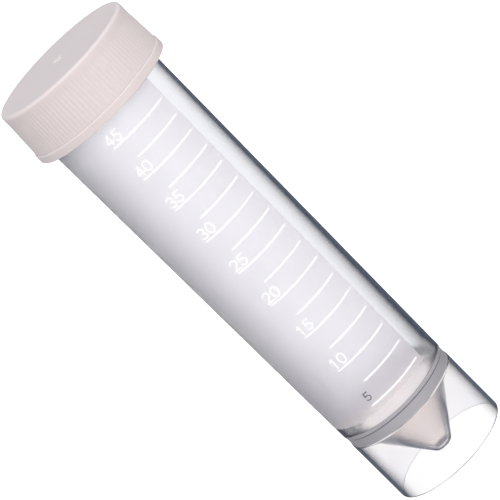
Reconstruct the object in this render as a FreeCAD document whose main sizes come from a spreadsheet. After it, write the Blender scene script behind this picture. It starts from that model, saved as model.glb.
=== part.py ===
import FreeCAD, Part

import os

import Sketcher

# Self-standing 50 ml conical tube with its screw cap.
# Millimetres, +Z up, origin at the centre of the skirt's foot.
# Two mouldings: the clear tube, and the opaque cap, which is drawn from its own open edge
# and then placed on the mouth.

SIZES = {
    # skirt, ring and conical bottom
    "foot_radius": 13.84,
    "foot_wall": 0.80,
    "skirt_root_wall": 0.95,
    "foot_rounding": 0.25,
    "groove_height": 15.5,
    "groove_width": 1.29,
    "groove_rounding": 0.35,
    "cone_tip_radius": 2.25,
    "cone_tip_height": 1.4,
    "cone_tip_rounding": 1.6,
    "well_radius": 1.7,
    "well_floor": 1.5,
    "well_rounding": 0.5,
    "ring_thickness": 3.3,
    "waist_below_groove": 0.8,
    "waist_above_groove": 2.5,
    "waist_depth": 0.18,
    "waist_lower_slope": 1.2,
    "waist_upper_slope": 0.7,
    # body and bore
    "funnel_rounding": 0.5,
    "bore_base_wall": 1.5,
    "body_draft": 0.6,
    # neck and its thread
    "mouth_height": 116.3,
    "neck_length": 11.5,
    "neck_step": 0.19,
    "neck_wall": 0.8,
    "shoulder_rise": 0.3,
    "mouth_rounding": 0.3,
    "thread_pitch": 3.2,
    "thread_turns": 1.75,
    "thread_depth": 0.7,
    "thread_root_width": 1.9,
    "thread_crest_width": 0.9,
    "thread_land": 3.1,
    "thread_bite": 0.2,
    # cap
    "seat_gap": 0.1,
    "cap_height": 12.6,
    "cap_top_thickness": 1.6,
    "cap_wall": 0.83,
    "collar_step": 0.24,
    "collar_height": 2.05,
    "collar_rounding": 0.3,
    "grip_draft": 0.4,
    "rim_height": 1.2,
    "rim_rounding": 0.8,
    "rib_count": 110,
    "rib_depth": 0.22,
    "rib_width": 0.5,
    "plug_gap": 0.1,
    "plug_thickness": 0.8,
    "plug_depth": 2.8,
    "plug_chamfer": 0.3,
    "gate_radius": 2.2,
    "gate_depth": 0.35,
    "gate_nub_radius": 0.6,
    "gate_nub_height": 0.2,
    "cap_thread_gap": 0.15,
    "cap_thread_depth": 0.45,
    "cap_thread_turns": 1.5,
    "cap_thread_root_width": 1.5,
    "cap_thread_crest_width": 0.7,
    "cap_thread_land": 2.6,
}

# what the cap and the neck share, worked out from the foot's radius outwards
NECK_RADIUS = "Sizes.foot_radius + Sizes.body_draft - Sizes.neck_step"
NECK_THREAD_CREST = f"{NECK_RADIUS} + Sizes.thread_depth"
MOUTH_BORE_RADIUS = f"{NECK_RADIUS} - Sizes.neck_wall"

doc = FreeCAD.newDocument("ConicalTube")
sheet = doc.addObject("Spreadsheet::Sheet", "Sizes")
for row, (alias, size) in enumerate(SIZES.items(), start=1):
    sheet.set(f"A{row}", alias)
    sheet.set(f"B{row}", str(size))
    sheet.setAlias(f"B{row}", alias)
doc.recompute()


def origin_part(body, role):
    """The body's own origin plane or axis with this role."""
    return next(item for item in body.Origin.OriginFeatures if item.Role == role)


def new_body(label):
    body = doc.addObject("PartDesign::Body", label.capitalize())
    body.Label = label
    return body


def profile(body, name, corners):
    """Closed sketch on the body's XZ plane, through corners given as (radius, height) expressions."""
    sketch = body.newObject("Sketcher::SketchObject", name)
    sketch.AttachmentSupport = (origin_part(body, "XZ_Plane"), [""])
    sketch.MapMode = "FlatFace"
    points = [FreeCAD.Vector(*(sketch.evalExpression(size) for size in corner), 0) for corner in corners]
    for start, end in zip(points, points[1:] + points[:1]):
        sketch.addGeometry(Part.LineSegment(start, end))
    for line in range(len(points)):
        sketch.addConstraint(Sketcher.Constraint("Coincident", line, 2, (line + 1) % len(points), 1))
    for line, (point, corner) in enumerate(zip(points, corners)):
        for kind, axis, size, expression in zip(("DistanceX", "DistanceY"), (-2, -1), point, corner):
            if expression == "0":
                sketch.addConstraint(Sketcher.Constraint("PointOnObject", line, 1, axis))
            else:
                index = sketch.addConstraint(Sketcher.Constraint(kind, -1, 1, line, 1, size))
                sketch.setExpression(f"Constraints[{index}]", expression)
    return sketch


def revolution(body, name, corners):
    """A solid of revolution about the body's Z axis."""
    feature = body.newObject("PartDesign::Revolution", name)
    feature.Profile = profile(body, name + "Profile", corners)
    feature.ReferenceAxis = (origin_part(body, "Z_Axis"), [""])
    feature.Angle = 360
    doc.recompute()
    return feature


def fillet(body, name, radius, places):
    """Rounds the full circles of the body's solid that lie at the given (radius, height) expressions."""
    base = body.Tip
    edges = []
    for place in places:
        ring_radius, height = (base.evalExpression(size) for size in place)
        for number, edge in enumerate(base.Shape.Edges, start=1):
            round_edge = isinstance(edge.Curve, Part.Circle)
            if round_edge and abs(edge.Curve.Radius - ring_radius) + abs(edge.Curve.Center.z - height) < 1e-5:
                edges.append(f"Edge{number}")
    feature = body.newObject("PartDesign::Fillet", name)
    feature.Base = (base, edges)
    feature.setExpression("Radius", radius)
    doc.recompute()
    return feature


def thread(body, name, corners, turns):
    """A ridge that climbs round the body's Z axis, one pitch a turn."""
    feature = body.newObject("PartDesign::AdditiveHelix", name)
    feature.Profile = profile(body, name + "Profile", corners)
    feature.ReferenceAxis = (origin_part(body, "Z_Axis"), [""])
    feature.Mode = "pitch-turns-angle"
    feature.setExpression("Pitch", "Sizes.thread_pitch")
    feature.setExpression("Turns", turns)
    doc.recompute()
    return feature


def make_tube():
    body = new_body("tube")
    foot_bore_radius = "Sizes.foot_radius - Sizes.foot_wall"
    skirt_root_radius = "Sizes.foot_radius - Sizes.skirt_root_wall"
    cone_root_radius = f"{skirt_root_radius} - Sizes.groove_width"
    waist_radius = "Sizes.foot_radius - Sizes.waist_depth"
    waist_base = "Sizes.groove_height - Sizes.waist_below_groove"
    waist_top = "Sizes.groove_height + Sizes.waist_above_groove"
    bore_base_radius = "Sizes.foot_radius - Sizes.bore_base_wall"
    funnel_height = "Sizes.groove_height + Sizes.ring_thickness"
    well_height = "Sizes.cone_tip_height + Sizes.well_floor"
    body_height = "Sizes.mouth_height - Sizes.neck_length"
    revolution(body, "Wall", [
        ("0", "Sizes.cone_tip_height"),
        ("Sizes.cone_tip_radius", "Sizes.cone_tip_height"),
        (cone_root_radius, "Sizes.groove_height"),
        (skirt_root_radius, "Sizes.groove_height"),
        (foot_bore_radius, "0"),
        ("Sizes.foot_radius", "0"),
        ("Sizes.foot_radius", waist_base),
        (waist_radius, f"{waist_base} + Sizes.waist_lower_slope"),
        (waist_radius, f"{waist_top} - Sizes.waist_upper_slope"),
        ("Sizes.foot_radius", waist_top),
        ("Sizes.foot_radius + Sizes.body_draft", body_height),
        (NECK_RADIUS, f"{body_height} + Sizes.shoulder_rise"),
        (NECK_RADIUS, "Sizes.mouth_height"),
        (MOUTH_BORE_RADIUS, "Sizes.mouth_height"),
        (bore_base_radius, funnel_height),
        ("Sizes.well_radius", well_height),
        ("0", well_height),
    ])
    # the cone's tip, inside and out
    fillet(body, "TipRounding", "Sizes.cone_tip_rounding", [
        ("Sizes.cone_tip_radius", "Sizes.cone_tip_height"),
    ])
    fillet(body, "WellRounding", "Sizes.well_rounding", [("Sizes.well_radius", well_height)])
    fillet(body, "FunnelRounding", "Sizes.funnel_rounding", [(bore_base_radius, funnel_height)])
    fillet(body, "GrooveRounding", "Sizes.groove_rounding", [
        (cone_root_radius, "Sizes.groove_height"),
        (skirt_root_radius, "Sizes.groove_height"),
    ])
    fillet(body, "FootRounding", "Sizes.foot_rounding", [
        (foot_bore_radius, "0"),
        ("Sizes.foot_radius", "0"),
    ])
    fillet(body, "MouthRounding", "Sizes.mouth_rounding", [
        (NECK_RADIUS, "Sizes.mouth_height"),
        (MOUTH_BORE_RADIUS, "Sizes.mouth_height"),
    ])
    # the neck's thread ends a land below the mouth and starts its turns below that
    start = "Sizes.mouth_height - Sizes.thread_land - Sizes.thread_pitch * Sizes.thread_turns"
    inside = f"{NECK_RADIUS} - Sizes.thread_bite"
    thread(body, "NeckThread", [
        (inside, f"{start} - Sizes.thread_root_width / 2"),
        (NECK_THREAD_CREST, f"{start} - Sizes.thread_crest_width / 2"),
        (NECK_THREAD_CREST, f"{start} + Sizes.thread_crest_width / 2"),
        (inside, f"{start} + Sizes.thread_root_width / 2"),
    ], "Sizes.thread_turns")
    return body


def make_cap():
    """The cap in its own frame, which starts at the centre of its open edge."""
    body = new_body("cap")
    ceiling = "Sizes.cap_height - Sizes.cap_top_thickness"
    plug_radius = f"{MOUTH_BORE_RADIUS} - Sizes.plug_gap"
    plug_end = f"{ceiling} - Sizes.plug_depth"
    thread_crest = f"{NECK_THREAD_CREST} + Sizes.cap_thread_gap"
    bore_radius = f"{thread_crest} + Sizes.cap_thread_depth"
    rib_root_top = f"{bore_radius} + Sizes.cap_wall"
    rib_root_base = f"{rib_root_top} + Sizes.grip_draft"
    grip_top_radius = f"{rib_root_top} + Sizes.rib_depth"
    grip_base_radius = f"{rib_root_base} + Sizes.rib_depth"
    collar_radius = f"{grip_base_radius} + Sizes.collar_step"
    rib_top = "Sizes.cap_height - Sizes.rim_height"
    gate_floor = "Sizes.cap_height - Sizes.gate_depth"
    revolution(body, "Shell", [
        ("0", ceiling),
        (f"{plug_radius} - Sizes.plug_thickness", ceiling),
        (f"{plug_radius} - Sizes.plug_thickness", plug_end),
        (f"{plug_radius} - Sizes.plug_chamfer", plug_end),
        (plug_radius, f"{plug_end} + Sizes.plug_chamfer"),
        (plug_radius, ceiling),
        (bore_radius, ceiling),
        (bore_radius, "0"),
        (collar_radius, "0"),
        (collar_radius, "Sizes.collar_height"),
        (rib_root_base, "Sizes.collar_height"),
        (rib_root_top, rib_top),
        (grip_top_radius, rib_top),
        (grip_top_radius, "Sizes.cap_height"),
        ("Sizes.gate_radius", "Sizes.cap_height"),
        ("Sizes.gate_nub_radius", gate_floor),
        ("Sizes.gate_nub_radius", f"{gate_floor} + Sizes.gate_nub_height"),
        ("0", f"{gate_floor} + Sizes.gate_nub_height"),
    ])
    fillet(body, "RimRounding", "Sizes.rim_rounding", [(grip_top_radius, "Sizes.cap_height")])
    fillet(body, "CollarRounding", "Sizes.collar_rounding", [
        (collar_radius, "0"),
        (collar_radius, "Sizes.collar_height"),
    ])
    # inner thread, with its crest outside the neck thread's
    start = "Sizes.cap_thread_land"
    inside = f"{bore_radius} + Sizes.thread_bite"
    thread(body, "CapThread", [
        (thread_crest, f"{start} - Sizes.cap_thread_crest_width / 2"),
        (inside, f"{start} - Sizes.cap_thread_root_width / 2"),
        (inside, f"{start} + Sizes.cap_thread_root_width / 2"),
        (thread_crest, f"{start} + Sizes.cap_thread_crest_width / 2"),
    ], "Sizes.cap_thread_turns")
    # one grip rib, leaning with the side, then the whole row of them
    rib = body.newObject("PartDesign::Pad", "Rib")
    rib.Profile = profile(body, "RibProfile", [
        (f"{rib_root_base} - Sizes.rib_depth", "Sizes.collar_height - Sizes.rib_depth"),
        (grip_base_radius, "Sizes.collar_height - Sizes.rib_depth"),
        (grip_top_radius, f"{rib_top} + Sizes.rib_depth"),
        (f"{rib_root_top} - Sizes.rib_depth", f"{rib_top} + Sizes.rib_depth"),
    ])
    rib.Midplane = True
    rib.setExpression("Length", "Sizes.rib_width")
    doc.recompute()
    ribs = body.newObject("PartDesign::PolarPattern", "Ribs")
    ribs.Originals = [rib]
    ribs.Axis = (origin_part(body, "Z_Axis"), [""])
    ribs.Angle = 360
    ribs.setExpression("Occurrences", "Sizes.rib_count")
    body.Tip = ribs
    body.setExpression(
        "Placement.Base.z", "Sizes.mouth_height + Sizes.seat_gap + Sizes.cap_top_thickness - Sizes.cap_height"
    )
    return body


bodies = [make_tube(), make_cap()]
doc.recompute()

for item in doc.Objects:
    if "Invalid" in item.State or "Error" in item.State:
        raise RuntimeError(f"{item.Name} failed: {item.State}")
for body in bodies:
    if body.Shape.isNull() or not body.Shape.isValid() or len(body.Shape.Solids) != 1:
        raise RuntimeError(f"{body.Label} isn't one valid solid")

os.makedirs("parts", exist_ok=True)
for body in bodies:
    body.Shape.exportStep(f"parts/{body.Label}.step")
    box = body.Shape.BoundBox
    volume = body.Shape.Volume
    print(f"{body.Label}: {volume:.1f} mm3, z {box.ZMin:.2f} to {box.ZMax:.2f}, x to {box.XMax:.2f}")
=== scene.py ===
"""Looks of the self-standing 50 ml conical tube: clear body on an open skirt, frosted field with a white
graduation, and a ribbed screw cap. Sizes are in millimetres until make_mesh turns them into metres."""

import math

import bpy
import numpy as np
from mathutils import Matrix, Vector


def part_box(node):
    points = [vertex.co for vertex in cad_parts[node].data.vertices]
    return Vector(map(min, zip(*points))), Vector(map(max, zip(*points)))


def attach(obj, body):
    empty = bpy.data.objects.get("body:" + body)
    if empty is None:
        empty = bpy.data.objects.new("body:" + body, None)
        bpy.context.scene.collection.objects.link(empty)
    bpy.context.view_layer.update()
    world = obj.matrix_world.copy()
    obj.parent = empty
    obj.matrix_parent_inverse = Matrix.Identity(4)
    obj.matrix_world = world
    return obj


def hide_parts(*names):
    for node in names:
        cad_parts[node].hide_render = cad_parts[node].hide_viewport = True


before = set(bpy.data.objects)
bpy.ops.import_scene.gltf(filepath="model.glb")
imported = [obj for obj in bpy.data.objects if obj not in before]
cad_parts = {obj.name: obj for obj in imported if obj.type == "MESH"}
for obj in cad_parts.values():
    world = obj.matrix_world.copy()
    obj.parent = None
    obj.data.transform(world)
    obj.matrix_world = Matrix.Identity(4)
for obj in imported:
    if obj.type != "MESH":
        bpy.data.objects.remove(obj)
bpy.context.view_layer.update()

MM = 0.001
TUBE_BOX = [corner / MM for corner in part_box("tube")]
CAP_BOX = [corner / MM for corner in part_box("cap")]

# roundings that several edges share
EDGE_ROUNDING = 0.1
SOFT_ROUNDING = 0.15

# skirt and conical bottom
FOOT_RADIUS = 13.84
FOOT_WALL = 0.8
FOOT_ROUNDING = 0.25
SKIRT_ROOT_RADIUS = 12.89
SKIRT_ROOT_HEIGHT = 15.5
SKIRT_ROOT_ROUNDING = 0.35
CONE_TIP_RADIUS = 1.95
CONE_TIP_HEIGHT = 1.6
CONE_TIP_ROUNDING = 1.6
CONE_TOP_RADIUS = 11.6
GREY_TIP_TOP = 2.95

# ring and its groove
CLOUD_BASE = 15.7
CLOUD_TOP = 19.0
WAIST_RADIUS = 13.66
WAIST_EASE = 0.1
GROOVE_TOP = 18.25

# wall and bore
WALL_BASE_HEIGHT = 18.0
WALL_TOP_RADIUS = 14.44
EARLY_GREY_HEIGHT = 24.0
WALL_COLUMNS = 360
BORE_BASE_RADIUS = 12.34
BORE_RING_STEP = 1.5
FUNNEL_HEIGHT = 18.8
FUNNEL_ROUNDING = 0.5
WELL_RADIUS = 1.7
WELL_HEIGHT = 3.0

# mouth, neck and its thread
MOUTH_HEIGHT = TUBE_BOX[1].z
MOUTH_BORE_RADIUS = 13.45
MOUTH_ROUNDING = 0.3
WALL_TOP_HEIGHT = MOUTH_HEIGHT - 11.5
NECK_RADIUS = 14.25
NECK_BASE_HEIGHT = WALL_TOP_HEIGHT + 0.3
NECK_RING_STEP = 0.19
THREAD_PITCH = 3.2
THREAD_RUN_OUT = 0.04
NECK_THREAD_CREST = TUBE_BOX[1].x
NECK_THREAD_START = MOUTH_HEIGHT - 8.7
NECK_THREAD_TURNS = 1.75
NECK_THREAD_ROOT_WIDTH = 1.9
NECK_THREAD_CREST_WIDTH = 0.9

# cap, its ribs and its gate mark
CAP_BASE = CAP_BOX[0].z
CAP_TOP = CAP_BOX[1].z
CEILING = CAP_TOP - 1.6
CEILING_ROUNDING = 0.3
COLLAR_RADIUS = CAP_BOX[1].x
COLLAR_TOP = CAP_BASE + 2.05
COLLAR_BASE_ROUNDING = 0.3
COLLAR_TOP_ROUNDING = 0.22
GRIP_BASE_RADIUS = 17.0
GRIP_TOP_RADIUS = 16.6
RIM_ROUNDING = 0.65
RIB_COUNT = 110
RIB_DEPTH = 0.08
RIB_FADE_BASE = CAP_TOP - 2.4
RIB_FADE_TOP = CAP_TOP - 1.0
RIB_FADE_ROUNDING = 0.4
GATE_RADIUS = 1.35
GATE_FLOOR_RADIUS = 1.1
GATE_DEPTH = 0.4
NUB_BASE_RADIUS = 0.75
NUB_TOP_RADIUS = 0.6
NUB_DROP = 0.03

# inside of the cap: bore, thread and plug lip
CAP_BORE_RADIUS = 15.55
CAP_RING_STEP = 0.35
CAP_THREAD_CREST = 15.1
CAP_THREAD_START = CAP_BASE + 2.6
CAP_THREAD_TURNS = 1.5
CAP_THREAD_ROOT_WIDTH = 1.5
CAP_THREAD_CREST_WIDTH = 0.7
PLUG_RADIUS = MOUTH_BORE_RADIUS - 0.1
PLUG_THICKNESS = 0.8
PLUG_CHAMFER = 0.3
PLUG_END = CEILING - 2.8

# print and frosted field, by the angle round the wall from its front, positive towards +X, in degrees
FIELD_LEFT = -137.0
FIELD_RIGHT = 42.5
FIELD_BASE = 21.6
FIELD_INNER_LIFT = 0.012
FIELD_OUTER_LIFT = 0.032
FIELD_COLUMNS = 240
INK_LIFT = 0.03
INK_THICKNESS = 0.03
LONG_LINE_LEFT = -20.2
SHORT_LINE_LEFT = -9.9
LINE_RIGHT = 37.3
LINE_WIDTH = 0.42
LINE_POINTS = 40
NUMBER_LEFT = -21.4
NUMBER_HEIGHT = 2.35
NUMBER_WIDTH = 0.4
NUMBER_LIFT = 0.65
LOWEST_LEFT = NUMBER_LEFT + 1
LOWEST_HEIGHT = 1.85
LOWEST_WIDTH = 0.26
LOWEST_LIFT = 1.3

# how much wider a figure is than it is drawn, and how far apart figures stand, times their height
FIGURE_SPREAD = 1.04
FIGURE_STEP = 0.86

# volumes with a line or a number, in ml
LOWEST_VOLUME = 5
HIGHEST_VOLUME = 45
LINE_VOLUME_STEP = 2.5
NUMBER_VOLUME_STEP = 5

# the graduation's own bore: its radius where the conical bottom begins, how fast it widens, and what
# the conical bottom holds, in mm, mm per mm and ml
GRADED_RADIUS = 12.231
GRADED_TAPER = 0.01537
FUNNEL_VOLUME = 2.905

# how far the guard points stand off the ends of a run, and how near two radii count as the same
GUARD = 0.04
SAME_RADIUS = 0.001
SMOOTH_ANGLE = math.radians(40)


# ---------------------------------------------------------------- surfaces

def make_mesh(name, points, faces, material):
    """A mesh object of these points, in millimetres, and faces, smooth but for its sharp corners."""
    mesh = bpy.data.meshes.new(name)
    mesh.from_pydata((points * MM).tolist(), [], faces)
    mesh.shade_smooth()
    mesh.set_sharp_from_angle(angle=SMOOTH_ANGLE)
    mesh.materials.append(material)
    piece = bpy.data.objects.new(name, mesh)
    bpy.context.scene.collection.objects.link(piece)
    return piece


def strip_faces(rows, columns):
    """Quads between neighbouring rows and columns of a grid, whose last column joins the first."""
    index = np.arange(rows * columns).reshape(rows, columns)
    after = np.roll(index, -1, axis=1)
    quads = np.stack([index[:-1], after[:-1], after[1:], index[1:]], axis=-1)
    return quads.reshape(-1, 4)


def outline(corners, arc_steps=7):
    """Points along a (radius, height) outline.

    Each corner is (radius, height, rounding, step). A rounding is the arc that touches both runs, at
    rounding * tan(half the turn) from the corner. A step, if not 0, divides the run that follows. Any
    other run gets a guard point just off each end, which keeps its shading flat.
    """
    corner = np.array([c[:2] for c in corners], float)
    rounding = np.array([c[2] for c in corners], float)
    run = np.diff(corner, axis=0)
    way = run / np.linalg.norm(run, axis=1)[:, None]
    points = [corner[:1]]
    for i in range(1, len(corner)):
        end_cut = 0.0
        if i < len(corner) - 1:
            turn = math.acos(np.clip(way[i - 1] @ way[i], -1, 1))
            end_cut = rounding[i] * math.tan(turn / 2)
        start, end = points[-1][-1], corner[i] - way[i - 1] * end_cut
        length = np.linalg.norm(end - start)
        share = [GUARD / length, 1 - GUARD / length] if length > 4 * GUARD else []
        if corners[i - 1][3]:
            share = np.linspace(0, 1, int(length / corners[i - 1][3]) + 1)[1:-1]
        points.append(start + np.outer(share, end - start).reshape(-1, 2))
        points.append(end[None])
        if end_cut > 0:
            side = np.sign(way[i - 1][0] * way[i][1] - way[i - 1][1] * way[i][0])
            normal = side * np.array([-way[i - 1][1], way[i - 1][0]])
            angle = np.linspace(0, turn, arc_steps + 1)[1:, None]
            centre = end + normal * rounding[i]
            points.append(centre + rounding[i] * (np.sin(angle) * way[i - 1] - np.cos(angle) * normal))
    return np.concatenate(points)


def lathe(name, line, angles, relief, material):
    """A closed surface of revolution: each outline point turned round the Z axis, plus a relief.

    x = (radius + relief) * cos(angle), y = (radius + relief) * sin(angle), z = height. The outline starts
    and ends on the axis, where the rings of points become one pole each.
    """
    ring = line[1:-1]
    radius = ring[:, :1] + relief(ring[:, :1], ring[:, 1:], angles[None])
    height = np.broadcast_to(ring[:, 1:], radius.shape)
    grid = np.stack([radius * np.cos(angles), radius * np.sin(angles), height], axis=-1)
    poles = np.array([[0, 0, line[0, 1]], [0, 0, line[-1, 1]]])
    points = np.concatenate([grid.reshape(-1, 3), poles])
    rows, columns = radius.shape
    first, last = rows * columns, rows * columns + 1
    near = np.arange(columns)
    after = np.roll(near, -1)
    low = np.stack([np.full(columns, first), after, near], axis=-1)
    top = (rows - 1) * columns
    high = np.stack([top + near, top + after, np.full(columns, last)], axis=-1)
    faces = strip_faces(rows, columns).tolist() + low.tolist() + high.tolist()
    return make_mesh(name, points, faces, material)


def sweep(loops):
    """Points and faces of one closed form: rings of points, one after another, with flat ends."""
    stations, count = loops.shape[:2]
    quads = strip_faces(stations, count)[:, ::-1]
    ends = [list(range(count)), list(range((stations - 1) * count, stations * count))[::-1]]
    return loops.reshape(-1, 3), quads.tolist() + ends


def join(parts):
    """The points and faces of several closed forms as one."""
    offsets = np.cumsum([0] + [len(points) for points, _ in parts])
    faces = [[v + offset for v in face] for (_, some), offset in zip(parts, offsets) for face in some]
    return np.concatenate([points for points, _ in parts]), faces


# ---------------------------------------------------------------- materials

def shader_group(name, inputs, outputs):
    """An empty node group with these sockets: inputs as name: (kind, value), outputs as name: kind."""
    group = bpy.data.node_groups.new(name, "ShaderNodeTree")
    for socket, (kind, value) in inputs.items():
        group.interface.new_socket(socket, in_out="INPUT", socket_type=kind).default_value = value
    for socket, kind in outputs.items():
        group.interface.new_socket(socket, in_out="OUTPUT", socket_type=kind)
    return group


def add_node(tree, kind, values=None, **settings):
    """A new node with its settings, and its inputs set by name or linked to another node's output."""
    node = tree.nodes.new(kind)
    for key, value in settings.items():
        setattr(node, key, value)
    for socket, value in (values or {}).items():
        if isinstance(value, bpy.types.NodeSocket):
            tree.links.new(value, node.inputs[socket])
        else:
            node.inputs[socket].default_value = value
    return node


def mix_colours(tree, share, first, second):
    """A mix of two colours, each a colour or another node's output; its sockets are found by number."""
    node = add_node(tree, "ShaderNodeMix", {0: share, 6: first, 7: second}, data_type="RGBA")
    return node.outputs[2]


def map_range(tree, value, low, high, to_low=0.0, to_high=1.0, interpolation="LINEAR"):
    """The output of a Map Range node that takes low to high over to to_low to to_high."""
    return add_node(tree, "ShaderNodeMapRange", {
        "Value": value, "From Min": low, "From Max": high, "To Min": to_low, "To Max": to_high,
    }, interpolation_type=interpolation).outputs["Result"]


def fade(tree, value, low, high):
    """0 where the value is below low, 1 where it is above high, and a soft passage between."""
    return map_range(tree, value, low, high, interpolation="SMOOTHSTEP")


def moulded_skin_group():
    """Moulded plastic: a slight cloudiness of tone and gloss, and a fine unevenness of the surface.

    Shade is how far the colour goes over to the shade colour, such as the painted shade at the edges of a
    clear wall.
    """
    group = shader_group("moulded_skin", {
        "Colour": ("NodeSocketColor", (1, 1, 1, 1)),
        "Shade colour": ("NodeSocketColor", (0, 0, 0, 1)),
        "Shade": ("NodeSocketFloat", 0.0),
        "Colour change": ("NodeSocketFloat", 0.03),
        "Roughness": ("NodeSocketFloat", 0.3),
        "Roughness change": ("NodeSocketFloat", 0.05),
        "Cloud size": ("NodeSocketFloat", 150.0),
        "Grain size": ("NodeSocketFloat", 2500.0),
        "Grain depth": ("NodeSocketFloat", 0.1),
    }, {"Colour": "NodeSocketColor", "Roughness": "NodeSocketFloat", "Normal": "NodeSocketVector"})
    given = add_node(group, "NodeGroupInput").outputs
    place = add_node(group, "ShaderNodeTexCoord").outputs["Object"]
    cloud = add_node(group, "ShaderNodeTexNoise", {
        "Vector": place, "Scale": given["Cloud size"], "Detail": 3.0,
    }).outputs["Fac"]
    grain = add_node(group, "ShaderNodeTexNoise", {
        "Vector": place, "Scale": given["Grain size"], "Detail": 2.0,
    }).outputs["Fac"]
    swing = add_node(group, "ShaderNodeMath", {0: cloud, 1: 0.5}, operation="SUBTRACT").outputs[0]
    shade = add_node(group, "ShaderNodeMath", {0: swing, 1: given["Colour change"], 2: 1.0},
                     operation="MULTIPLY_ADD").outputs[0]
    shaded = mix_colours(group, given["Shade"], given["Colour"], given["Shade colour"])
    colour = add_node(group, "ShaderNodeVectorMath", {0: shaded, 3: shade}, operation="SCALE")
    gloss = add_node(group, "ShaderNodeMath", {0: swing, 1: given["Roughness change"], 2: given["Roughness"]},
                     operation="MULTIPLY_ADD").outputs[0]
    bump = add_node(group, "ShaderNodeBump", {
        "Height": grain, "Strength": given["Grain depth"], "Distance": 0.00005,
    }).outputs["Normal"]
    add_node(group, "NodeGroupOutput", {
        "Colour": colour.outputs["Vector"], "Roughness": gloss, "Normal": bump,
    })
    return group


def finish_material(name, skin, **plain):
    """A Principled material whose colour, roughness and normal come from the moulded skin group."""
    material = bpy.data.materials.new(name)
    material.use_nodes = True
    tree = material.node_tree
    shader = tree.nodes["Principled BSDF"]
    group = add_node(tree, "ShaderNodeGroup", node_tree=moulded_skin)
    for socket, value in skin.items():
        group.inputs[socket].default_value = value
    tree.links.new(group.outputs["Colour"], shader.inputs["Base Color"])
    tree.links.new(group.outputs["Roughness"], shader.inputs["Roughness"])
    tree.links.new(group.outputs["Normal"], shader.inputs["Normal"])
    for socket, value in plain.items():
        shader.inputs[socket.replace("_", " ")].default_value = value
    return material


moulded_skin = moulded_skin_group()

CLEAR = (0.935, 0.935, 0.955, 1)
WARM_CLEAR = (0.96, 0.915, 0.9, 1)
# painted shade in the clear plastic's colour: near black at the wall's edges, blue-grey in the conical bottom
EDGE_PAINTED_SHADE = (0.005, 0.007, 0.015, 1)
CONE_PAINTED_SHADE = (0.05, 0.056, 0.085, 1)
FROST = (0.985, 0.975, 1.0, 1)
# painted shade: the frosted field's darker tone low down
LOW_FROST_PAINTED_SHADE = (0.92, 0.89, 0.935, 1)
BASE_FROST = (1.0, 0.955, 0.965, 1)

# roughness of the clear plastic where it has no haze and where it is fully hazy
GLOSSY = 0.03
HAZY = 0.5

# how much further the clear wall turns from the eye between the start of its painted edge shade and its full
# painted shade
GREY_SPAN = 0.33

# heights between which the frosted field's tones pass: from its lower edge to low, and from low to even
LOW_FROST_HEIGHT = 25.0
FROST_BASE_HEIGHT = 24.0
FROST_TOP_HEIGHT = 45.0

satin = {
    "Colour change": 0.03, "Roughness change": 0.1, "Cloud size": 120.0,
    "Grain size": 3000.0, "Grain depth": 0.2,
}
ink = {
    "Roughness": 0.5, "Roughness change": 0.1, "Cloud size": 900.0,
    "Grain size": 5000.0, "Grain depth": 0.2,
}

clear_plastic = finish_material("clear_plastic", {
    "Colour": CLEAR, "Colour change": 0.01, "Shade colour": EDGE_PAINTED_SHADE,
    "Roughness": GLOSSY, "Roughness change": 0.02, "Cloud size": 60.0,
    "Grain size": 180.0, "Grain depth": 0.02,
}, Transmission_Weight=1.0, IOR=1.5)

frosted_plastic = finish_material("frosted_plastic", {
    **satin, "Colour": FROST, "Roughness": 0.42,
}, Transmission_Weight=0.75, IOR=1.35)

# the ring's hazy plastic; its dark grey is partly painted shade, for the dim light from below that the ring's
# inner reflections show
cloudy_painted_shade = finish_material("cloudy_painted_shade", {
    **satin, "Colour": (0.435, 0.42, 0.45, 1), "Roughness": 0.5,
}, Transmission_Weight=0.25, IOR=1.35)

# painted shade: a dark line on the groove's upper step, where the clear ring shows dark
groove_painted_shade = finish_material("groove_painted_shade", {
    **satin, "Colour": (0.08, 0.09, 0.125, 1), "Roughness": 0.4,
}, Transmission_Weight=0.25, IOR=1.35)

white_ink = finish_material("white_ink", {
    **ink, "Colour": (0.98, 0.98, 0.99, 1), "Colour change": 0.02,
})

# painted shade: a dark grey for the lowest number's ink, which shows dark there only through the light
painted_shade_ink = finish_material("painted_shade_ink", {
    **ink, "Colour": (0.16, 0.16, 0.19, 1), "Colour change": 0.2,
})

cap_plastic = finish_material("cap_plastic", {
    "Colour": (0.715, 0.645, 0.645, 1), "Colour change": 0.03,
    "Roughness": 0.48, "Roughness change": 0.08, "Cloud size": 90.0,
    "Grain size": 2200.0, "Grain depth": 0.1,
}, Specular_IOR_Level=0.35, Subsurface_Weight=1.0, Subsurface_Radius=(1.0, 0.95, 0.95),
    Subsurface_Scale=0.001)


def skin_inputs(material):
    """The inputs of the material's moulded skin group."""
    return next(node for node in material.node_tree.nodes if node.type == "GROUP").inputs


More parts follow.
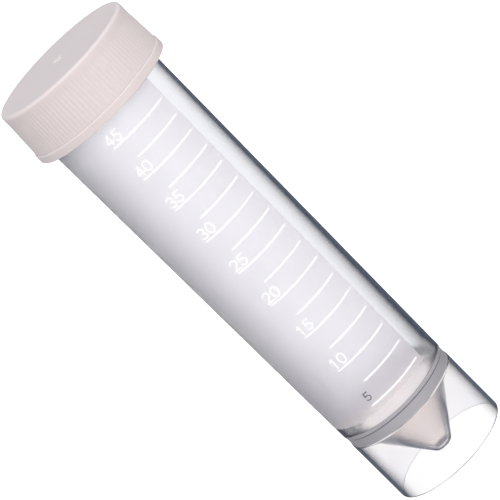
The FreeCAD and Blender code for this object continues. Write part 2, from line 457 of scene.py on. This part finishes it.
def finish_clear_edges():
    """The clear wall: painted shade at its edges, where the eye looks along the wall, and on the tip and the
    foot from every side; warm in the conical bottom and hazy where the plastic is heavy. Attributes on the
    tube say where and how much."""
    tree = clear_plastic.node_tree
    skin = skin_inputs(clear_plastic)
    start, warm, haze, tip_foot_shade = (
        add_node(tree, "ShaderNodeAttribute", attribute_name=name).outputs["Fac"]
        for name in ["edge_start", "warm", "haze", "tip_foot_shade"]
    )
    # painted shade: the colour goes over to the shade colour where the wall is seen edge on
    turned = add_node(tree, "ShaderNodeLayerWeight", {"Blend": 0.5}).outputs["Facing"]
    past = add_node(tree, "ShaderNodeMath", {0: turned, 1: start}, operation="SUBTRACT").outputs[0]
    edge = fade(tree, past, 0.0, GREY_SPAN)
    # the larger of the edge's painted shade and the painted shade on the tip and the foot
    shade = add_node(tree, "ShaderNodeMath", {0: edge, 1: tip_foot_shade}, operation="MAXIMUM").outputs[0]
    tree.links.new(shade, skin["Shade"])
    tree.links.new(mix_colours(tree, warm, CLEAR, WARM_CLEAR), skin["Colour"])
    tree.links.new(mix_colours(tree, warm, EDGE_PAINTED_SHADE, CONE_PAINTED_SHADE), skin["Shade colour"])
    tree.links.new(map_range(tree, haze, 0.0, 1.0, GLOSSY, HAZY), skin["Roughness"])


def finish_field_base():
    """The frosted field: slightly darker low down, which is painted shade, and pale and warm at its lower
    edge.
    """
    tree = frosted_plastic.node_tree
    place = add_node(tree, "ShaderNodeTexCoord").outputs["Object"]
    height = add_node(tree, "ShaderNodeSeparateXYZ", {"Vector": place}).outputs["Z"]
    # painted shade: darker low down, fading out by FROST_TOP_HEIGHT
    low = fade(tree, height, FROST_BASE_HEIGHT * MM, FROST_TOP_HEIGHT * MM)
    base = fade(tree, height, FIELD_BASE * MM, LOW_FROST_HEIGHT * MM)
    lower = mix_colours(tree, base, BASE_FROST, LOW_FROST_PAINTED_SHADE)
    tree.links.new(mix_colours(tree, low, lower, FROST), skin_inputs(frosted_plastic)["Colour"])


finish_clear_edges()
finish_field_base()


# ---------------------------------------------------------------- tube

# where the clear plastic's painted edge shade starts, from 0 for a surface that faces the eye to 1 for one
# seen edge on, and 2 for never; the wall's three are at CLOUD_TOP, EARLY_GREY_HEIGHT and WALL_TOP_HEIGHT
SKIRT_GREY_START = 0.385
WALL_GREY_STARTS = [0.42, 0.3, 0.4]
CONE_GREY_START = 0.38
CORNER_GREY_START = 0.6
NO_GREY = 2.0

# how dull the clear plastic is, from 0 to 1
CORNER_HAZE = 0.85
BORE_FOOT_HAZE = 0.5
CONE_HAZE = 0.25
SKIRT_ROOT_HAZE = 0.15

# painted shade on the tip and the foot from every side, and how far below GREY_TIP_TOP it is full on the tip
TIP_PAINTED_SHADE = 0.7
TIP_GREY_DEPTH = 0.6
FOOT_PAINTED_SHADE = 0.12


def wall_radius(height):
    """Outer radius of the tapered wall at a height, between the ring and the neck."""
    share = (height - WALL_BASE_HEIGHT) / (WALL_TOP_HEIGHT - WALL_BASE_HEIGHT)
    return FOOT_RADIUS + (WALL_TOP_RADIUS - FOOT_RADIUS) * share


def thread_relief(height, angle, start, turns, root_width, crest_width, depth):
    """Height of a thread ridge at a height and angle on the wall.

    The ridge's middle climbs by pitch * angle / a full turn. Its section is a trapezoid, whose height falls
    from the crest's edge to the root's edge, and both ends run out over a short angle.
    """
    ridge = np.zeros(np.broadcast_shapes(height.shape, angle.shape))
    for lap in range(math.ceil(turns)):
        turned = angle / math.tau + lap
        away = np.abs(height - start - THREAD_PITCH * turned)
        section = np.clip((root_width / 2 - away) / (root_width / 2 - crest_width / 2), 0, 1)
        ends = np.clip(turned / THREAD_RUN_OUT, 0, 1) * np.clip((turns - turned) / THREAD_RUN_OUT, 0, 1)
        ridge = np.maximum(ridge, depth * section * ends)
    return ridge


def write_zones(tube):
    """Four values at each point of the tube, which its material reads.

    edge_start is how far the surface turns from the eye before its painted edge shade starts; it starts later
    on the wall towards its thin top and its bright foot, and never on the bore. warm is 1 in the conical
    bottom. haze is how dull the surface is: most in the corners at the conical bottom's top, less at the
    bore's foot, and least on the cone and at the skirt's root. The fourth value is painted shade on the
    cone's tip and the skirt's foot, from every side.
    """
    mesh = tube.data
    place = np.empty(len(mesh.vertices) * 3)
    mesh.vertices.foreach_get("co", place)
    place = place.reshape(-1, 3) / MM
    radius = np.hypot(place[:, 0], place[:, 1])
    height = place[:, 2]
    # the small margins put every limit between two rings of points
    outside = radius > MOUTH_BORE_RADIUS + 0.1
    skirt = (radius > SKIRT_ROOT_RADIUS) & (height < SKIRT_ROOT_HEIGHT - 0.4)
    foot = skirt & (height < FOOT_ROUNDING + 0.02)
    inside = ~skirt & ~outside
    bottom = inside & (height < FUNNEL_HEIGHT + 0.1)
    cone = bottom & (radius < CONE_TOP_RADIUS + 0.06)
    corners = bottom & ~cone & (radius < SKIRT_ROOT_RADIUS - 0.02)
    bore_foot = inside & ~bottom & (height < EARLY_GREY_HEIGHT)
    wall_start = np.interp(height, [CLOUD_TOP, EARLY_GREY_HEIGHT, WALL_TOP_HEIGHT], WALL_GREY_STARTS)
    tip = cone * np.clip((GREY_TIP_TOP - height) / TIP_GREY_DEPTH, 0, 1)
    zones = {
        "edge_start": np.select(
            [outside & (height < CLOUD_BASE), outside, cone, corners],
            [SKIRT_GREY_START, wall_start, CONE_GREY_START, CORNER_GREY_START], NO_GREY,
        ),
        "warm": bottom,
        "haze": np.select(
            [corners, bore_foot, cone, bottom],
            [CORNER_HAZE, BORE_FOOT_HAZE, CONE_HAZE, SKIRT_ROOT_HAZE], 0.0,
        ),
        # painted shade on the cone's tip and the skirt's foot, from every side
        "tip_foot_shade": TIP_PAINTED_SHADE * tip + FOOT_PAINTED_SHADE * foot,
    }
    for name, values in zones.items():
        mesh.attributes.new(name, "FLOAT", "POINT").data.foreach_set("value", values.astype(np.float32))


def cloud_ring(tube):
    """The ring's outer face, between the skirt and the wall, gets the cloudy plastic, whose dark grey is
    partly painted shade, and the upper step of its groove a dark line of painted shade."""
    mesh = tube.data
    mesh.materials.append(cloudy_painted_shade)
    mesh.materials.append(groove_painted_shade)
    centre = np.empty(len(mesh.polygons) * 3)
    mesh.polygons.foreach_get("center", centre)
    centre = centre.reshape(-1, 3) / MM
    height = centre[:, 2]
    outside = np.hypot(centre[:, 0], centre[:, 1]) > WAIST_RADIUS - 0.1
    cloudy = outside & (height > CLOUD_BASE) & (height < CLOUD_TOP)
    groove = outside & (height > WALL_BASE_HEIGHT) & (height < GROOVE_TOP)
    mesh.polygons.foreach_set("material_index", cloudy.astype(np.int32) + groove)


def make_tube():
    """Wall, skirt, cone and neck as one lathe form, with the neck's thread as its relief.

    The cone's ring at GREY_TIP_TOP keeps the tip's painted shade out of the long faces above it.
    """
    cone_heights = [CONE_TIP_HEIGHT, SKIRT_ROOT_HEIGHT]
    grey_tip_radius = np.interp(GREY_TIP_TOP, cone_heights, [CONE_TIP_RADIUS, CONE_TOP_RADIUS])
    line = outline([
        (0, CONE_TIP_HEIGHT, 0, 0),
        (CONE_TIP_RADIUS, CONE_TIP_HEIGHT, CONE_TIP_ROUNDING, 0),
        (grey_tip_radius, GREY_TIP_TOP, 0, 0),
        (CONE_TOP_RADIUS, SKIRT_ROOT_HEIGHT, SKIRT_ROOT_ROUNDING, 0),
        (SKIRT_ROOT_RADIUS, SKIRT_ROOT_HEIGHT, SKIRT_ROOT_ROUNDING, 0),
        (FOOT_RADIUS - FOOT_WALL, 0, FOOT_ROUNDING, 0),
        (FOOT_RADIUS, 0, FOOT_ROUNDING, 0),
        (FOOT_RADIUS, CLOUD_BASE - WAIST_EASE, EDGE_ROUNDING, 0),
        (WAIST_RADIUS, CLOUD_BASE + WAIST_EASE, EDGE_ROUNDING, 0),
        (WAIST_RADIUS, WALL_BASE_HEIGHT, 0, 0),
        (wall_radius(GROOVE_TOP), GROOVE_TOP, 0, 0),
        (wall_radius(CLOUD_TOP), CLOUD_TOP, 0, 0),
        (wall_radius(EARLY_GREY_HEIGHT), EARLY_GREY_HEIGHT, 0, 0),
        (WALL_TOP_RADIUS, WALL_TOP_HEIGHT, EDGE_ROUNDING, 0),
        (NECK_RADIUS, NECK_BASE_HEIGHT, EDGE_ROUNDING, NECK_RING_STEP),
        (NECK_RADIUS, MOUTH_HEIGHT, MOUTH_ROUNDING, 0),
        (MOUTH_BORE_RADIUS, MOUTH_HEIGHT, MOUTH_ROUNDING, 0),
        (BORE_BASE_RADIUS, FUNNEL_HEIGHT, FUNNEL_ROUNDING, BORE_RING_STEP),
        (WELL_RADIUS, WELL_HEIGHT, FUNNEL_ROUNDING, 0),
        (0, WELL_HEIGHT, 0, 0),
    ])

    def relief(radius, height, angle):
        on_neck = (np.abs(radius - NECK_RADIUS) < SAME_RADIUS) & (height > WALL_TOP_HEIGHT)
        return on_neck * thread_relief(
            height, angle, NECK_THREAD_START, NECK_THREAD_TURNS,
            NECK_THREAD_ROOT_WIDTH, NECK_THREAD_CREST_WIDTH, NECK_THREAD_CREST - NECK_RADIUS,
        )

    angles = np.linspace(0, math.tau, WALL_COLUMNS, endpoint=False)
    tube = lathe("clear_tube", line, angles, relief, clear_plastic)
    write_zones(tube)
    cloud_ring(tube)
    return tube


# ---------------------------------------------------------------- cap

def rib_angles():
    """Angles with six columns to a rib, closer together on its flanks."""
    share = np.array([0.0, 0.18, 0.34, 0.5, 0.66, 0.82])
    return ((np.arange(RIB_COUNT)[:, None] + share) * math.tau / RIB_COUNT).ravel()


def make_cap():
    """Shell, ribs, collar, gate mark, plug lip and inner thread as one lathe form with a relief.

    A rib's crest follows (1 - cos(angle * rib count)) / 2, up to the plain cone round all the ribs.
    """
    line = outline([
        (0, CEILING, 0, 0),
        (PLUG_RADIUS - PLUG_THICKNESS, CEILING, SOFT_ROUNDING, 0),
        (PLUG_RADIUS - PLUG_THICKNESS, PLUG_END, EDGE_ROUNDING, 0),
        (PLUG_RADIUS - PLUG_CHAMFER, PLUG_END, EDGE_ROUNDING, 0),
        (PLUG_RADIUS, PLUG_END + PLUG_CHAMFER, EDGE_ROUNDING, 0),
        (PLUG_RADIUS, CEILING, SOFT_ROUNDING, 0),
        (CAP_BORE_RADIUS, CEILING, CEILING_ROUNDING, CAP_RING_STEP),
        (CAP_BORE_RADIUS, CAP_BASE, SOFT_ROUNDING, 0),
        (COLLAR_RADIUS, CAP_BASE, COLLAR_BASE_ROUNDING, 0),
        (COLLAR_RADIUS, COLLAR_TOP, COLLAR_TOP_ROUNDING, 0),
        (GRIP_BASE_RADIUS - RIB_DEPTH, COLLAR_TOP, EDGE_ROUNDING, 0),
        (GRIP_TOP_RADIUS - RIB_DEPTH, RIB_FADE_BASE, RIB_FADE_ROUNDING, 0),
        (GRIP_TOP_RADIUS, RIB_FADE_TOP, RIB_FADE_ROUNDING, 0),
        (GRIP_TOP_RADIUS, CAP_TOP, RIM_ROUNDING, 0),
        (GATE_RADIUS, CAP_TOP, EDGE_ROUNDING, 0),
        (GATE_FLOOR_RADIUS, CAP_TOP - GATE_DEPTH, SOFT_ROUNDING, 0),
        (NUB_BASE_RADIUS, CAP_TOP - GATE_DEPTH, EDGE_ROUNDING, 0),
        (NUB_TOP_RADIUS, CAP_TOP - NUB_DROP, SOFT_ROUNDING, 0),
        (0, CAP_TOP - NUB_DROP, 0, 0),
    ], arc_steps=4)

    def relief(radius, height, angle):
        on_bore = np.abs(radius - CAP_BORE_RADIUS) < SAME_RADIUS
        thread = thread_relief(
            height, angle, CAP_THREAD_START, CAP_THREAD_TURNS,
            CAP_THREAD_ROOT_WIDTH, CAP_THREAD_CREST_WIDTH, CAP_BORE_RADIUS - CAP_THREAD_CREST,
        )
        crest = (1 - np.cos(angle * RIB_COUNT)) / 2
        on_side = (radius > CAP_BORE_RADIUS + 0.2) & (height > COLLAR_TOP + 0.01)
        on_grip = on_side & (height < RIB_FADE_TOP + 0.1)
        rise = (height - COLLAR_TOP) / (RIB_FADE_TOP - COLLAR_TOP)
        grip_radius = GRIP_BASE_RADIUS + (GRIP_TOP_RADIUS - GRIP_BASE_RADIUS) * rise
        room = np.clip(grip_radius - radius, 0, RIB_DEPTH)
        return on_grip * crest * room - on_bore * thread

    return lathe("ribbed_cap", line, rib_angles(), relief, cap_plastic)


# ---------------------------------------------------------------- field and print

def on_wall(turn, height, lift):
    """Points on the wall: turn is the angle in radians from the front, lift the height above the wall."""
    radius = wall_radius(height) + lift
    return np.stack(np.broadcast_arrays(radius * np.sin(turn), -radius * np.cos(turn), height), axis=-1)


def make_field():
    """The frosted field: a thin curved slab just off the wall, a rectangle of (height, lift) turned round."""
    turn = np.radians(np.linspace(FIELD_LEFT, FIELD_RIGHT, FIELD_COLUMNS))[:, None]
    height = np.array([FIELD_BASE, FIELD_BASE, WALL_TOP_HEIGHT, WALL_TOP_HEIGHT])
    lift = np.array([FIELD_INNER_LIFT, FIELD_OUTER_LIFT, FIELD_OUTER_LIFT, FIELD_INNER_LIFT])
    points, faces = sweep(on_wall(turn, height, lift))
    return make_mesh("frosted_field", points, faces, frosted_plastic)


def volume_height(volume):
    """Height of the liquid's surface for a volume in ml, of which each is 1000 cubic millimetres.

    The bore above the conical bottom is a truncated cone, so the height follows from the cube of the
    radius: radius ** 3 = base radius ** 3 + 3 * taper * volume / pi.
    """
    radius_cube = GRADED_RADIUS ** 3 + 3 * GRADED_TAPER * (volume - FUNNEL_VOLUME) * 1000 / math.pi
    return FUNNEL_HEIGHT + (radius_cube ** (1 / 3) - GRADED_RADIUS) / GRADED_TAPER


def stroke(track, front, base, width):
    """One line of ink: a flat oval carried along a track of (across, up) points on the wall.

    The oval's two ends shrink along a half circle, at three angles, which rounds the line's ends off.
    """
    way = np.gradient(track, axis=0)
    way /= np.linalg.norm(way, axis=1)[:, None]
    side = np.stack([-way[:, 1], way[:, 0]], axis=-1)
    arc = np.radians([8, 40, 70])
    start = track[0] - way[0] * (width / 2) * np.cos(arc)[:, None]
    end = track[-1] + way[-1] * (width / 2) * np.cos(arc[::-1])[:, None]
    middle = np.concatenate([start, track, end])
    across = np.concatenate([np.tile(side[0], (3, 1)), side, np.tile(side[-1], (3, 1))])
    size = np.concatenate([np.sin(arc), np.ones(len(track)), np.sin(arc[::-1])])
    round_oval = np.linspace(0, math.tau, 8, endpoint=False)
    sideways = (width / 2) * np.cos(round_oval) * size[:, None]
    lift = INK_LIFT + (INK_THICKNESS / 2) * (1 + np.sin(round_oval)) * np.ones_like(sideways)
    spot = middle[:, None] + across[:, None] * sideways[..., None]
    height = base + spot[..., 1]
    turn = math.radians(front) + spot[..., 0] / wall_radius(base)
    return sweep(on_wall(turn, height, lift)[:, ::-1])


def arc_track(centre, radii, start, end, steps=14):
    """Points on an oval arc, by its centre, half width and half height, and start and end in degrees."""
    angle = np.radians(np.linspace(start, end, steps))
    return np.stack([centre[0] + radii[0] * np.cos(angle), centre[1] + radii[1] * np.sin(angle)], axis=-1)


def straight_track(start, end, steps=6):
    """Evenly spaced points on a straight line."""
    return np.linspace(start, end, steps)


def figure_tracks(figure):
    """The strokes of one figure from 0 to 5, in a box 0.62 wide and 1 high."""
    if figure == "0":
        return [arc_track((0.31, 0.5), (0.31, 0.5), 0, 360, 28)]
    if figure == "1":
        flag = straight_track((0.08, 0.74), (0.34, 1.0))
        return [np.concatenate([flag, straight_track((0.34, 0.98), (0.34, 0))])]
    if figure == "2":
        bow = arc_track((0.31, 0.7), (0.29, 0.3), 165, -35)
        slope = straight_track((0.5, 0.45), (0.02, 0.0))
        return [np.concatenate([bow, slope]), straight_track((0.02, 0), (0.62, 0))]
    if figure == "3":
        upper = arc_track((0.29, 0.745), (0.27, 0.255), 155, -90)
        lower = arc_track((0.29, 0.25), (0.31, 0.25), 90, -155)
        return [upper, lower]
    if figure == "4":
        return [straight_track((0.47, 0), (0.47, 1.0)), straight_track((0.47, 1.0), (0.0, 0.3)),
                straight_track((0.0, 0.3), (0.64, 0.3))]
    bowl = arc_track((0.29, 0.31), (0.31, 0.31), 130, -150)
    return [straight_track((0.57, 1.0), (0.12, 1.0)), straight_track((0.12, 1.0), (0.08, 0.52)), bowl]


def number_strokes(number, left, base, size, width):
    """The strokes of a number, whose lower left corner is at the angle left and the height base."""
    parts = []
    for place, figure in enumerate(str(number)):
        for track in figure_tracks(figure):
            shifted = track * (FIGURE_SPREAD * size, size) + (place * FIGURE_STEP * size, 0)
            parts.append(stroke(shifted, left, base, width))
    return parts


def line_stroke(volume, left):
    """A graduation line: one straight stroke round the wall at the volume's height."""
    height = volume_height(volume)
    reach = math.radians(LINE_RIGHT - left) * wall_radius(height)
    return stroke(straight_track((0, 0), (reach, 0), LINE_POINTS), left, height, LINE_WIDTH)


def make_print():
    """White lines every 2.5 ml with longer ones every 5 ml, white numbers, and the lowest number in a dark
    grey of painted shade.
    """
    lines = []
    for volume in np.arange(LOWEST_VOLUME, HIGHEST_VOLUME + LINE_VOLUME_STEP, LINE_VOLUME_STEP):
        numbered = volume % NUMBER_VOLUME_STEP == 0
        lines.append(line_stroke(volume, LONG_LINE_LEFT if numbered else SHORT_LINE_LEFT))
    numbers = []
    for volume in range(LOWEST_VOLUME + NUMBER_VOLUME_STEP, HIGHEST_VOLUME + 1, NUMBER_VOLUME_STEP):
        base = volume_height(volume) + NUMBER_LIFT
        numbers += number_strokes(volume, NUMBER_LEFT, base, NUMBER_HEIGHT, NUMBER_WIDTH)
    base = volume_height(LOWEST_VOLUME) + LOWEST_LIFT
    lowest = number_strokes(LOWEST_VOLUME, LOWEST_LEFT, base, LOWEST_HEIGHT, LOWEST_WIDTH)
    return [
        make_mesh("graduation_lines", *join(lines), white_ink),
        make_mesh("graduation_numbers", *join(numbers), white_ink),
        make_mesh("lowest_number", *join(lowest), painted_shade_ink),
    ]


tube = make_tube()
cap = make_cap()
field = make_field()
print_pieces = make_print()

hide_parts("tube")
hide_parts("cap")
for piece in [tube, field, *print_pieces]:
    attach(piece, "tube")
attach(cap, "cap")


# ---------------------------------------------------------------- floor, light and camera

# floor, in millimetres, and its own glow
FLOOR_RADIUS = 6000
FLOOR_HEIGHT = -0.05
FLOOR_CORNERS = 96
FLOOR_GLOW = 0.8

# brightness of the studio: white, where clear things find it dimmer, and as it lights and mirrors
STUDIO_WHITE = (1.13, 1.13, 1.13, 1)
DIM_LEFT = (0.7, 0.7, 0.73, 1)
DIM_BELOW = (0.62, 0.62, 0.66, 1)
DIM_ABOVE = (0.8, 0.8, 0.82, 1)
LIT_FROM_BELOW = (0.58, 0.56, 0.55, 1)
LIT_FROM_ABOVE = (0.79, 0.80, 0.815, 1)
DARK_MIRROR = (0.17, 0.19, 0.23, 1)
OVERHEAD_MIRROR = (3.2, 3.2, 3.3, 1)

# camera: metres before the axis and above the ground, degrees, and the lens in millimetres
CAMERA_DISTANCE = 0.6665
CAMERA_HEIGHT = 0.2447
CAMERA_PITCH = 15.37
CAMERA_ROLL = 45.07
CAMERA_LENS = 241.5


def make_floor():
    """A wide pale disc just under the foot, bright enough to show white."""
    angle = np.linspace(0, math.tau, FLOOR_CORNERS, endpoint=False)
    height = np.full(FLOOR_CORNERS, FLOOR_HEIGHT)
    points = np.stack([FLOOR_RADIUS * np.cos(angle), FLOOR_RADIUS * np.sin(angle), height], axis=-1)
    material = bpy.data.materials.new("pale_floor")
    material.use_nodes = True
    shader = material.node_tree.nodes["Principled BSDF"]
    shader.inputs["Base Color"].default_value = (0.9, 0.9, 0.9, 1)
    shader.inputs["Roughness"].default_value = 0.9
    shader.inputs["Emission Color"].default_value = (1, 1, 1, 1)
    shader.inputs["Emission Strength"].default_value = FLOOR_GLOW
    floor = make_mesh("floor", points, [list(range(FLOOR_CORNERS))], material)
    floor.visible_transmission = False
    floor.visible_glossy = False
    floor.visible_diffuse = False


def make_world():
    """A pale studio with its own brightness for what is seen, shone through, mirrored and lit.

    The eye finds it white. What is clear finds it white too, but dimmer far to the left and towards
    straight up and straight down. Mirrors find it dark, which keeps the edges of the clear wall dark,
    and bright overhead. Opaque things are lit cool from above and dimly from below. across and height
    are the ray's way, from -1 for full left or straight down to 1 for full right or straight up.
    """
    world = bpy.data.worlds.new("studio")
    world.use_nodes = True
    bpy.context.scene.world = world
    tree = world.node_tree
    tree.nodes.clear()
    place = add_node(tree, "ShaderNodeTexCoord").outputs["Generated"]
    across, _, height = add_node(tree, "ShaderNodeSeparateXYZ", {"Vector": place}).outputs
    ray = add_node(tree, "ShaderNodeLightPath").outputs
    level = mix_colours(tree, fade(tree, across, -0.85, -0.4), DIM_LEFT, STUDIO_WHITE)
    lower = mix_colours(tree, fade(tree, height, -0.95, -0.7), DIM_BELOW, level)
    through = mix_colours(tree, fade(tree, height, 0.3, 0.8), lower, DIM_ABOVE)
    lit = mix_colours(tree, fade(tree, height, -0.3, 0.3), LIT_FROM_BELOW, LIT_FROM_ABOVE)
    mirror = mix_colours(tree, fade(tree, height, 0.5, 0.9), DARK_MIRROR, OVERHEAD_MIRROR)
    mirrored = mix_colours(tree, ray["Is Glossy Ray"], lit, mirror)
    shone = mix_colours(tree, ray["Is Transmission Ray"], mirrored, through)
    seen = mix_colours(tree, ray["Is Camera Ray"], shone, STUDIO_WHITE)
    sky = add_node(tree, "ShaderNodeBackground", {"Color": seen, "Strength": 1.0})
    add_node(tree, "ShaderNodeOutputWorld", {"Surface": sky.outputs["Background"]})


def make_light(name, place, aim, size, power, colour):
    """A square soft box at a place, facing a point, in metres and watts."""
    light = bpy.data.lights.new(name, "AREA")
    light.size = size
    light.energy = power
    light.color = colour
    lamp = bpy.data.objects.new(name, light)
    lamp.location = place
    lamp.rotation_mode = "QUATERNION"
    lamp.rotation_quaternion = (Vector(aim) - Vector(place)).to_track_quat("-Z", "Y")
    bpy.context.scene.collection.objects.link(lamp)


def make_camera():
    """Camera before the front, looking down a little, turned about its own axis so the tube lies aslant."""
    camera_data = bpy.data.cameras.new("camera")
    camera_data.lens = CAMERA_LENS
    camera = bpy.data.objects.new("camera", camera_data)
    tilt = Matrix.Rotation(math.radians(90 - CAMERA_PITCH), 4, "X")
    roll = Matrix.Rotation(math.radians(-CAMERA_ROLL), 4, "Z")
    camera.matrix_world = Matrix.Translation((0, -CAMERA_DISTANCE, CAMERA_HEIGHT)) @ tilt @ roll
    bpy.context.scene.collection.objects.link(camera)
    bpy.context.scene.camera = camera


make_floor()
make_world()
make_light(
    "front_box", place=(0.25, -1.75, 0.6), aim=(0, 0, 0.07), size=1.8, power=25, colour=(1, 0.985, 0.98),
)
make_camera()
bpy.context.scene.view_settings.view_transform = "Standard"
# light trapped in the thick ring needs many reflections to find its way out
bpy.context.scene.cycles.max_bounces = 24
bpy.context.scene.cycles.glossy_bounces = 16
bpy.context.scene.cycles.transmission_bounces = 20
